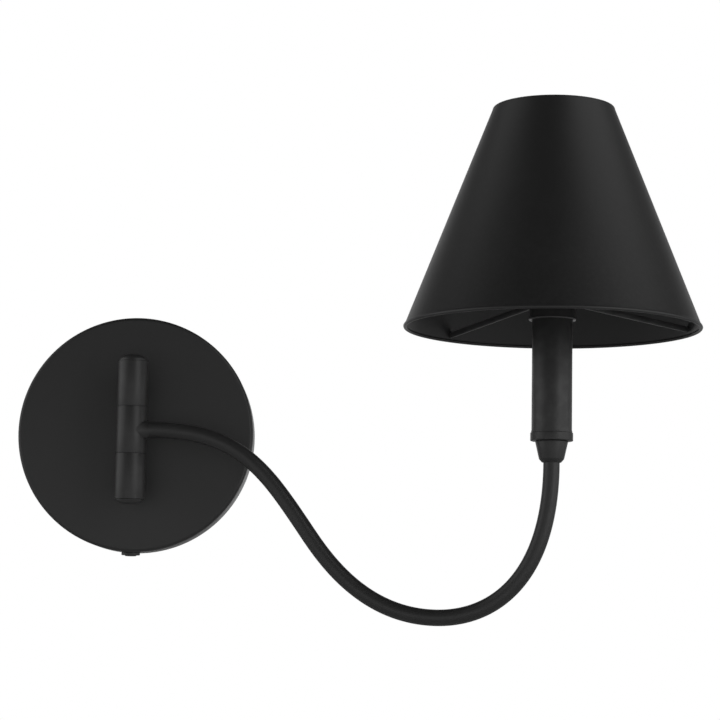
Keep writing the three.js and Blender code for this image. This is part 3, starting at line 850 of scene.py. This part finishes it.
def cup_ring():
    low, high = heights("cup_ring")
    radius, bore = half_width("cup_ring"), 5.1 * mm
    shoulder = sleeve_radius + 0.18 * mm
    seat = low - 0.25 * mm
    ring = turned([
        (bore, seat),
        (8.0 * mm, seat),
        (8.4 * mm, low),
        (radius, low),
        (radius, high),
        (shoulder, high),
        (shoulder, high + 0.9 * mm),
        (bore, high + 0.2 * mm),
        (bore, seat),
    ], steps=128)

    def outer(edge):
        return all(v.co.xy.length > radius - touching for v in edge.verts)

    soften(ring, 1.0 * mm, segments=6, where=outer)
    coated("cup_ring_turned", ring, "arm", "cup_ring", on_lamp)


cup_neck()
cup_ring()

# ---- Candle sleeve ----
# A thin-walled steel tube, powder coated like the rest, that hides the lamp holder. It stands in the
# cup ring.


def candle_sleeve():
    low, high = heights("candle_sleeve")
    wall, sunk = 0.9 * mm, 0.3 * mm
    sleeve = turned(hoop(sleeve_radius - wall, sleeve_radius, low - sunk, high))

    def at_top(edge):
        return all(v.co.z > high - touching for v in edge.verts)

    soften(sleeve, 0.25 * mm, where=at_top)
    coated("candle_sleeve_tube", sleeve, "arm", "candle_sleeve", on_lamp)


candle_sleeve()

# ---- Lamp holder ----
# A candelabra holder screwed on a threaded nipple: a nut under it, a moulded cap and shell, a rolled
# brass thread and a sprung centre contact. A moulded ring screws on its top and clamps the shade.

phenolic = moulded("brown_black_phenolic", (0.020, 0.013, 0.010), (0.034, 0.023, 0.017), 0.22, 0.34, 1500.0)
drawn_brass = bare_metal("drawn_brass", (0.62, 0.42, 0.15), (0.80, 0.58, 0.25), 0.22, 0.36)


def nipple():
    low, high = heights("threaded_nipple")
    bore, end_radius, radius = 3.4 * mm, 4.4 * mm, 4.8 * mm
    tube = turned([
        (bore, low),
        (end_radius, low),
        *threaded(radius, 0.4 * mm, low + 0.4 * mm, high - 0.4 * mm, 0.94 * mm),
        (end_radius, high),
        (bore, high),
        (bore, low),
    ], steps=64)
    zinced("threaded_nipple_rolled", tube, "threaded_nipple", on_lamp, "arm", 25)


def rolled(radius, swing, low, high, rings, points):
    """The wavy outline of a thread rolled in sheet brass."""
    return [
        (radius + swing * cos(2 * pi * k / points), low + (high - low) * k / (points * rings))
        for k in range(points * rings + 1)
    ]


def in_holder(name, bm, material, node, smooth_under=40):
    """Settles a piece of the lamp: the holder, its ring or the bulb."""
    settle(name, bm, material, "arm", node, on_lamp, smooth_under)


def holder():
    outside, neck, wire_hole = 7.4 * mm, 7.1 * mm, 1.5 * mm
    low, high = heights("socket_cap")
    bore, floor_under = 5.1 * mm, 3.3 * mm
    cap = turned([
        (bore, low),
        (6.4 * mm, low),
        (outside, low + 2 * mm),
        (outside, high - 1.6 * mm),
        (neck, high - 1.2 * mm),
        (neck, high),
        (wire_hole, high),
        (wire_hole, high - floor_under),
        (bore, high - floor_under),
        (bore, low),
    ], steps=96)
    soften(cap, 0.25 * mm)
    in_holder("holder_cap_moulded", cap, phenolic, "socket_cap")
    low, high = heights("socket_shell")
    bore, floor_over = 6.8 * mm, 3.7 * mm
    shell = turned([
        (wire_hole, low),
        (7.0 * mm, low),
        (outside, low + 0.5 * mm),
        (outside, low + 6 * mm),
        (neck, low + 6.4 * mm),
        (neck, low + 8 * mm),
        (outside, low + 8.4 * mm),
        (outside, high - 8.8 * mm),
        *threaded(outside, 0.35 * mm, high - 8.6 * mm, high - 0.6 * mm, 1.3 * mm),
        (7.2 * mm, high),
        (bore, high),
        (bore, low + floor_over),
        (wire_hole, low + floor_over),
        (wire_hole, low),
    ], steps=96)
    in_holder("holder_shell_moulded", shell, phenolic, "socket_shell", 30)
    outer = rolled(6.33 * mm, 0.17 * mm, *heights("socket_thread"), 8, 6)
    inner = [(radius - 0.28 * mm, height) for radius, height in reversed(outer)]
    thread = turned([*outer, *inner, outer[0]], steps=64)
    in_holder("holder_thread_rolled", thread, drawn_brass, "socket_thread", 50)
    low, high = heights("socket_contact")
    rivet_hole, disc = 0.6 * mm, 2.56 * mm
    contact = turned([
        (rivet_hole, low),
        (2.3 * mm, low),
        (disc, low + 0.2 * mm),
        (disc, low + 0.45 * mm),
        (1.7 * mm, high),
        (rivet_hole, high),
        (rivet_hole, low),
    ], steps=48)
    in_holder("holder_contact_pressed", contact, drawn_brass, "socket_contact")


def retaining_ring():
    low, high = heights("retaining_ring")
    bore, outer = 7.7 * mm, 10.2 * mm
    ring = turned([
        (bore, low),
        (outer - 0.4 * mm, low),
        (outer, low + 0.4 * mm),
        (outer, high - 0.5 * mm),
        (outer - 0.5 * mm, high),
        (8.0 * mm, high),
        (bore, high - 0.3 * mm),
        (bore, low),
    ], steps=144)
    ribbed(ring, 24, 0.035, lambda co: co.xy.length > outer - 0.1 * mm)
    in_holder("retaining_ring_moulded", ring, phenolic, "retaining_ring")


nipple()
hex_nut("cup_nut", 14 * mm, 4.9 * mm, *heights("cup_nut"), "arm", on_lamp @ Matrix.Rotation(arm_turn, 4, "Z"))
holder()
retaining_ring()

# ---- Bulb ----
# A clear candle bulb with a rolled brass base. Inside stands a glass stem with four straight
# filaments in a yellow phosphor coat.


def clear_glass():
    glass, tree, shader = principled("clear_bulb_glass")
    skin = place_group(tree, orange_peel, Dimples_per_metre=60.0, Mottle_per_metre=25.0)
    mottle = skin.outputs["Mottle"]
    tint = blend_colors(tree, between(tree, mottle, 0, 1), (0.97, 0.975, 0.97), (0.99, 0.99, 0.985))
    join(tree, (tint, shader.inputs["Base Color"]),
         (between(tree, mottle, 0.0, 0.03, 0.4, 0.7), shader.inputs["Roughness"]))
    shader.inputs["Transmission Weight"].default_value = 1
    shader.inputs["IOR"].default_value = 1.5
    add_bump(tree, shader, skin.outputs["Height"], 0.15, 0.05 * mm)
    return glass


bulb_glass = clear_glass()
yellow_phosphor = moulded("yellow_phosphor", (0.78, 0.52, 0.10), (0.88, 0.66, 0.20), 0.5, 0.65, 1800.0)


def bulb_base():
    low, high = heights("bulb_base")
    base = turned([
        (0, low),
        (1.9 * mm, low),
        (2.3 * mm, low + 1.1 * mm),
        (4.4 * mm, low + 2.5 * mm),
        (5.1 * mm, low + 4.3 * mm),
        *rolled(5.5 * mm, -0.3 * mm, low + 5.2 * mm, low + 21.8 * mm, 6, 8),
        (5.3 * mm, high - 4.6 * mm),
        (5.7 * mm, high - 4.0 * mm),
        (5.79 * mm, high - 1.0 * mm),
        (5.4 * mm, high),
        (0, high),
    ], steps=72)
    in_holder("bulb_base_rolled", base, drawn_brass, "bulb_base", 45)


def bulb_envelope():
    """The blown glass: stations of (radius, height over the base) in mm, and a drawn-off tip."""
    low, top = heights("bulb_glass")
    height = (top - low) / mm
    wall, last_level, steps = 0.8, 74, 46
    stations = [(6.2, -4), (6.2, 0), (6.6, 4), (13, 15), (17, 26), (16.8, 35), (12.5, 53), (6.4, 68),
                (2.8, last_level), (0.6, height)]

    def radius_at(level):
        """The smooth outline through the stations (Catmull-Rom in height)."""
        for k in range(1, len(stations) - 2):
            (r1, z1), (r2, z2) = stations[k], stations[k + 1]
            if level <= z2 or k == len(stations) - 3:
                (r0, z0), (r3, z3) = stations[k - 1], stations[k + 2]
                share = (level - z1) / (z2 - z1)
                slope_1 = (r2 - r0) / (z2 - z0) * (z2 - z1)
                slope_2 = (r3 - r1) / (z3 - z1) * (z2 - z1)
                a, b = share * share * (3 - 2 * share), share * (1 - share)
                return r1 + (r2 - r1) * a + b * (slope_1 * (1 - share) - slope_2 * share)

    levels = [last_level * k / steps for k in range(steps + 1)]
    outer = [(radius_at(level) * mm, low + level * mm) for level in levels]
    inner = [(radius - wall * mm, level) for radius, level in outer[:-2]]
    tip = [
        (1.9 * mm, low + (height - 0.75) * mm),
        (0.9 * mm, low + (height - 0.2) * mm),
        (0, low + height * mm),
        (0, low + (height - 2.2) * mm),
        (1.3 * mm, low + (height - 2.7) * mm),
    ]
    blown = turned([*outer, *tip, *reversed(inner), outer[0]], steps=96)
    in_holder("bulb_envelope_blown", blown, bulb_glass, "bulb_glass", 60)


def bulb_stem():
    low, high = heights("bulb_stem")
    rod = 1.1 * mm
    stem = turned([
        (0, low),
        (3.2 * mm, low),
        (3.1 * mm, low + 4 * mm),
        (2.2 * mm, low + 7.5 * mm),
        (1.4 * mm, low + 9.7 * mm),
        (rod, low + 14 * mm),
        (rod, high - 1.5 * mm),
        (0.8 * mm, high - 0.4 * mm),
        (0, high),
    ], steps=48)
    in_holder("bulb_stem_drawn", stem, bulb_glass, "bulb_stem")


def bulb_filament(number):
    """One leaning filament, with the wire at each end that holds it to the stem."""
    low, high = heights("bulb_stem")
    bottom, top = low + 13 * mm, high - 4 * mm
    end_radius, radius, length = 0.55 * mm, 0.75 * mm, top - bottom
    turn = on_lamp @ Matrix.Rotation(radians(45 + 90 * number), 4, "Z")
    lean = Matrix.Rotation(radians(-3.5), 4, "Y")
    stick = turned([(0, 0), (end_radius, 0), (radius, 0.3 * mm), (radius, length - 0.3 * mm),
                    (end_radius, length), (0, length)], steps=20)
    name = f"bulb_filament_{number + 1}"
    settle(name, stick, yellow_phosphor, "arm", None,
           turn @ Matrix.Translation((5.2 * mm, 0, bottom)) @ lean)
    for label, level, reach, drop, rise in (
        ("lower", bottom - 0.6 * mm, 5.3 * mm, 1.5 * mm, 0.8 * mm),
        ("upper", top + 0.6 * mm, 2.7 * mm, -1.0 * mm, -0.8 * mm),
    ):
        inner = Vector((1.0 * mm, 0, level - drop))
        outer = Vector((reach, 0, level + rise))
        step = (outer - inner) * 0.3
        wire = swept("wire", [(inner, -step, step), (outer, -step, step)], 0.2 * mm, 8, 4)
        zinced(f"{name}_{label}_wire", wire, None, turn, "arm")


bulb_base()
bulb_envelope()
bulb_stem()
for number in range(4):
    bulb_filament(number)

# ---- Shade ----
# A cone rolled from thin sheet steel, powder coated inside and out, with its lower and upper rims
# curled into fine beads. A turned hub slips over the sleeve, and three flat spider arms are brazed
# between the hub and the cone.

shade_bottom, shade_top = heights("shade")
shade_bottom_radius = half_width("shade")
shade_top_radius = 31.1 * mm
shade_wall = 1.0 * mm
hub_radius = half_width("shade_hub")
shade_black = powder_coat("shade_black_powder_coat", 0.0090, 0.0112, 0.46, 0.495, dimples=1200.0, rub=0.35)
# The hub and the spider arms are the same satin black as the rest, painted about twice as light: painted
# light for what reaches them in the shadow inside the shade.
hub_black_painted_light = powder_coat("hub_black_powder_coat", 0.0300, 0.0350, 0.36, 0.38, rub=0.6)


def arc(center, radius, start, end, steps):
    """Points of a circular stretch of a profile, in degrees from +radius towards +height."""
    return [
        (center[0] + radius * cos(radians(start + (end - start) * k / steps)),
         center[1] + radius * sin(radians(start + (end - start) * k / steps)))
        for k in range(steps + 1)
    ]


def shade():
    bead, upper_bead, proud = 0.95 * mm, 0.95 * mm * 0.8, 0.45 * mm
    half_angle = 21.3
    uphill = Vector((shade_top_radius - shade_bottom_radius, shade_top - shade_bottom)).normalized()
    outward = Vector((uphill.y, -uphill.x))
    foot_on_cone = Vector((shade_bottom_radius, shade_bottom)) + uphill * bead
    head_on_cone = Vector((shade_top_radius, shade_top)) - uphill * bead
    foot = foot_on_cone - outward * (bead - proud)
    head = head_on_cone - outward * (upper_bead - 0.1 * mm)
    foot_outer = foot_on_cone + uphill * 1.3 * mm
    head_outer = head_on_cone - uphill * 1.0 * mm
    cone = turned([
        tuple(foot_outer),
        *arc(foot, bead, half_angle + 26, -222, 16),
        tuple(foot_outer - outward * shade_wall),
        tuple(head_outer - outward * shade_wall),
        *arc(head, upper_bead, 180 + half_angle, half_angle - 4, 12),
        tuple(head_outer),
        tuple(foot_outer),
    ], steps=224)
    settle("shade_cone", cone, shade_black, "arm", "shade", on_lamp, smooth_under=50)


def on_hub(name, bm, node, place):
    """Settles the hub or a spider arm in the black that is painted lighter, as painted light inside the
    shade.
    """
    settle(name, bm, hub_black_painted_light, "arm", node, place)


def shade_hub():
    low, high = heights("shade_hub")
    bore = sleeve_radius + 0.2 * mm
    lip, side = 0.45 * mm, hub_radius - 0.15 * mm
    counterbore, hole, seat, rest = 10.6 * mm, 7.7 * mm, low + 6.2 * mm, low + 4.6 * mm
    hub = turned([
        (bore, low + lip),
        *arc((bore + lip, low + lip), lip, -180, -90, 5),
        *arc((hub_radius - lip, low + lip), lip * 1.5, -80, 40, 8),
        (side, low + 3 * lip),
        (side, high - 0.4 * mm),
        (hub_radius - 0.55 * mm, high),
        (10.7 * mm, high),
        (counterbore, high - 0.1 * mm),
        (counterbore, seat),
        (hole, seat),
        (hole, rest),
        (bore, rest),
        (bore, low + lip),
    ], steps=128)
    on_hub("shade_hub_turned", hub, "shade_hub", on_lamp)


def spider_arm(number):
    """A flat strip that slopes down from the hub to the cone."""
    node = f"spider_arm_{number}"
    thick, tall = 1.5 * mm, 3.0 * mm
    low, high = heights(node)
    outer_height, inner_height = low + tall / 2, high - tall / 2
    inner_radius = hub_radius - 0.3 * mm
    share = (outer_height - shade_bottom) / (shade_top - shade_bottom)
    cone_radius = shade_bottom_radius + share * (shade_top_radius - shade_bottom_radius)
    outer_radius = cone_radius - shade_wall * 1.2
    x, y, _ = middle_of(node)
    turn = Vector((x - lamp_x, y - lamp_y)).angle_signed(Vector((1, 0)))
    strip = block((0, 0, 0), (1, thick, tall))
    for vert in strip.verts:
        outer = vert.co.x > 0
        vert.co.z += outer_height if outer else inner_height
        vert.co.x = outer_radius if outer else inner_radius
    soften(strip, 0.3 * mm)
    on_hub(f"{node}_strip", strip, node, on_lamp @ Matrix.Rotation(turn, 4, "Z"))


shade()
shade_hub()
for number in (1, 2, 3):
    spider_arm(number)

# ---- Camera, light and floor ----
# A plain pale floor well under the light and an even bright surround. A large soft panel stands on
# each side, with a narrow one to the front right and a low card that throws light up from below.

eye = Vector((0.1206, -1.2393, -0.1080))
look_up, roll = radians(7.04), radians(0.97)
lens = bpy.data.cameras.new("camera")
lens.sensor_width = 36
lens.lens = 113.07
lens.clip_start = 0.05
lens.clip_end = 60
camera = bpy.data.objects.new("camera", lens)
tilt = Matrix.Rotation(radians(90) + look_up, 4, "X") @ Matrix.Rotation(roll, 4, "Z")
camera.matrix_world = Matrix.Translation(eye) @ tilt
scene.collection.objects.link(camera)
scene.camera = camera
scene.view_settings.view_transform = "Standard"
middle_x, middle_y = 0.12, -0.05


def soft_box(name, place, target, width, height, power):
    lamp = bpy.data.lights.new(name, "AREA")
    lamp.shape = "RECTANGLE"
    lamp.size = width
    lamp.size_y = height
    lamp.energy = power
    stand = bpy.data.objects.new(name, lamp)
    stand.visible_camera = False
    aim = (Vector(target) - Vector(place)).to_track_quat("-Z", "Y")
    stand.matrix_world = Matrix.Translation(place) @ aim.to_matrix().to_4x4()
    scene.collection.objects.link(stand)


for name, azimuth, distance, height, aim_height, width, tall, power in (
    ("left_panel", -84, 1.7, 0.68, 0.38, 2.0, 2.2, 11.5),
    ("right_panel", 66, 1.7, 0.85, 0.45, 2.5, 2.5, 16.5),
    ("right_strip", 41, 1.75, 0.55, 0.25, 0.7, 1.9, 3.2),
):
    # The azimuth is taken from straight in front, towards the arm's side.
    place = (middle_x + distance * sin(radians(azimuth)), middle_y - distance * cos(radians(azimuth)), height)
    soft_box(name, place, (middle_x, middle_y, aim_height), width, tall, power)
soft_box("bounce_card", (middle_x, -1.1, -0.4), (0.15, -0.1, 0.05), 1.8, 0.9, 2.7)


def surround():
    """White behind everything; for the light it gives, bright low down and behind, and dim above."""
    world = bpy.data.worlds.new("surround")
    world.use_nodes = True
    scene.world = world
    tree = world.node_tree
    seen = tree.nodes["Background"]
    seen.inputs["Color"].default_value = (1, 1, 1, 1)
    seen.inputs["Strength"].default_value = 1.0
    glow = shader_node(tree, "Background")
    coords = shader_node(tree, "TexCoord")
    split = shader_node(tree, "SeparateXYZ")
    low_band = shader_node(
        tree, "MapRange", {"From Min": 0.05, "From Max": 0.6, "To Min": 0.46, "To Max": 0.05},
        interpolation_type="SMOOTHSTEP")
    wall_glow = shader_node(
        tree, "MapRange", {"From Min": 0.68, "From Max": 1.0, "To Max": 0.92},
        interpolation_type="SMOOTHSTEP")
    total = shader_node(tree, "Math", operation="ADD")
    path = shader_node(tree, "LightPath")
    chosen = shader_node(tree, "MixShader")
    join(tree,
         (coords.outputs["Generated"], split.inputs["Vector"]),
         (split.outputs["Z"], low_band.inputs["Value"]),
         (split.outputs["Y"], wall_glow.inputs["Value"]),
         (low_band.outputs["Result"], total.inputs[0]),
         (wall_glow.outputs["Result"], total.inputs[1]),
         (total.outputs[0], glow.inputs["Strength"]),
         (path.outputs["Is Camera Ray"], chosen.inputs["Fac"]),
         (glow.outputs["Background"], chosen.inputs[1]),
         (seen.outputs["Background"], chosen.inputs[2]),
         (chosen.outputs["Shader"], tree.nodes["World Output"].inputs["Surface"]))


def floor():
    """A round of pale paper that lies under the light and is clear from below."""
    bm = bmesh.new()
    bmesh.ops.create_circle(bm, cap_ends=True, segments=96, radius=2.4)
    mesh = bpy.data.meshes.new("floor")
    bm.to_mesh(mesh)
    bm.free()
    paper, tree, shader = principled("floor_paper")
    shader.inputs["Base Color"].default_value = (0.82, 0.82, 0.82, 1)
    shader.inputs["Roughness"].default_value = 0.9
    pale = shader_node(tree, "Emission", {"Color": (0.86, 0.86, 0.86, 1)})
    path = shader_node(tree, "LightPath")
    chosen = shader_node(tree, "MixShader")
    clear = shader_node(tree, "BsdfTransparent")
    geometry = shader_node(tree, "NewGeometry")
    one_sided = shader_node(tree, "MixShader")
    join(tree,
         (path.outputs["Is Camera Ray"], chosen.inputs["Fac"]),
         (shader.outputs["BSDF"], chosen.inputs[1]),
         (pale.outputs["Emission"], chosen.inputs[2]),
         (geometry.outputs["Backfacing"], one_sided.inputs["Fac"]),
         (chosen.outputs["Shader"], one_sided.inputs[1]),
         (clear.outputs["BSDF"], one_sided.inputs[2]),
         (one_sided.outputs["Shader"], tree.nodes["Material Output"].inputs["Surface"]))
    mesh.materials.append(paper)
    ground = bpy.data.objects.new("floor", mesh)
    ground.location.z = -0.42
    scene.collection.objects.link(ground)


surround()
floor()
